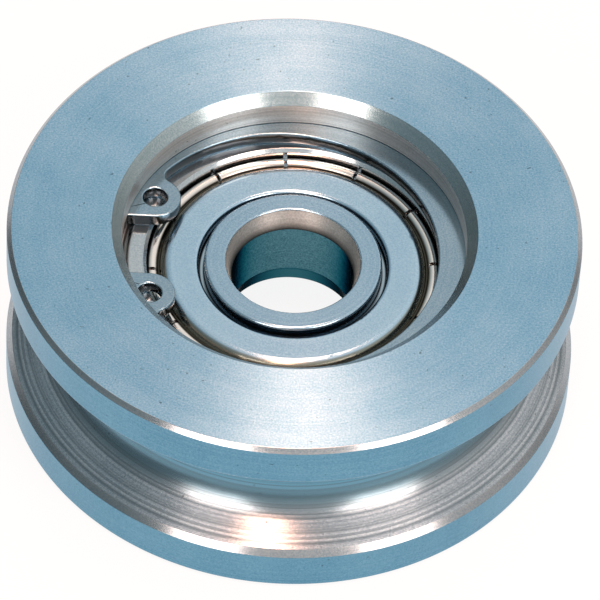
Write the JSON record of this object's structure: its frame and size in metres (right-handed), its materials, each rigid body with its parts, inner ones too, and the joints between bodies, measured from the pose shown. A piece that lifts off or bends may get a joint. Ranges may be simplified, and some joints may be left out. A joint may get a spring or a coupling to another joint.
{
  "type": "v groove wheel",
  "caption": "Turned steel wheel with a rounded V groove, running on a shielded ball bearing held in its bore by a snap ring.",
  "frame": {"origin": "centre of the wheel, on its axis, half way through its width", "axes": "+Z along the axis, out of the side that takes the bearing and the snap ring; the snap ring's gap faces -X"},
  "size_m": [0.07, 0.07, 0.026],
  "materials": {
    "turned_steel": "fine turned, bright",
    "spring_steel": "stamped and barrelled",
    "bearing_steel": "ground",
    "pressed_sheet": "pressed bright sheet",
    "cage_sheet": "pressed sheet",
    "ball_steel": "polished"
  },
  "bodies": {
    "hub": {"inner_ring": "bearing_steel"},
    "wheel": {"wheel_body": "turned_steel", "snap_ring": "spring_steel", "outer_ring": "bearing_steel", "upper_shield": "pressed_sheet", "lower_shield": "pressed_sheet"},
    "cage": {"cage_upper": "cage_sheet", "cage_lower": "cage_sheet", "cage_rivets": "cage_sheet"},
    "ball_1_body": {"ball_1": "ball_steel"},
    "ball_2_body": {"ball_2": "ball_steel"},
    "ball_3_body": {"ball_3": "ball_steel"},
    "ball_4_body": {"ball_4": "ball_steel"},
    "ball_5_body": {"ball_5": "ball_steel"},
    "ball_6_body": {"ball_6": "ball_steel"},
    "ball_7_body": {"ball_7": "ball_steel"}
  },
  "joints": [
    {"name": "wheel_spin", "type": "hinge", "parent": "hub", "child": "wheel", "pos_m": [0, 0, 0.00035], "axis": [0, 0, 1], "continuous": true},
    {"name": "cage_spin", "type": "hinge", "parent": "hub", "child": "cage", "pos_m": [0, 0, 0.00035], "axis": [0, 0, 1], "continuous": true},
    {"name": "ball_1_spin", "type": "hinge", "parent": "cage", "child": "ball_1_body", "pos_m": [0.01425, 0, 0.00035], "axis": [0, 0, 1], "continuous": true},
    {"name": "ball_2_spin", "type": "hinge", "parent": "cage", "child": "ball_2_body", "pos_m": [0.00888, 0.01114, 0.00035], "axis": [0, 0, 1], "continuous": true},
    {"name": "ball_3_spin", "type": "hinge", "parent": "cage", "child": "ball_3_body", "pos_m": [-0.00317, 0.01389, 0.00035], "axis": [0, 0, 1], "continuous": true},
    {"name": "ball_4_spin", "type": "hinge", "parent": "cage", "child": "ball_4_body", "pos_m": [-0.01284, 0.00618, 0.00035], "axis": [0, 0, 1], "continuous": true},
    {"name": "ball_5_spin", "type": "hinge", "parent": "cage", "child": "ball_5_body", "pos_m": [-0.01284, -0.00618, 0.00035], "axis": [0, 0, 1], "continuous": true},
    {"name": "ball_6_spin", "type": "hinge", "parent": "cage", "child": "ball_6_body", "pos_m": [-0.00317, -0.01389, 0.00035], "axis": [0, 0, 1], "continuous": true},
    {"name": "ball_7_spin", "type": "hinge", "parent": "cage", "child": "ball_7_body", "pos_m": [0.00888, -0.01114, 0.00035], "axis": [0, 0, 1], "continuous": true}
  ],
  "couplings": [
    {"joint": "cage_spin", "follows": "wheel_spin", "ratio": 0.63926},
    {"joint": "ball_1_spin", "follows": "wheel_spin", "ratio": 1.6559},
    {"joint": "ball_2_spin", "follows": "wheel_spin", "ratio": 1.6559},
    {"joint": "ball_3_spin", "follows": "wheel_spin", "ratio": 1.6559},
    {"joint": "ball_4_spin", "follows": "wheel_spin", "ratio": 1.6559},
    {"joint": "ball_5_spin", "follows": "wheel_spin", "ratio": 1.6559},
    {"joint": "ball_6_spin", "follows": "wheel_spin", "ratio": 1.6559},
    {"joint": "ball_7_spin", "follows": "wheel_spin", "ratio": 1.6559}
  ]
}
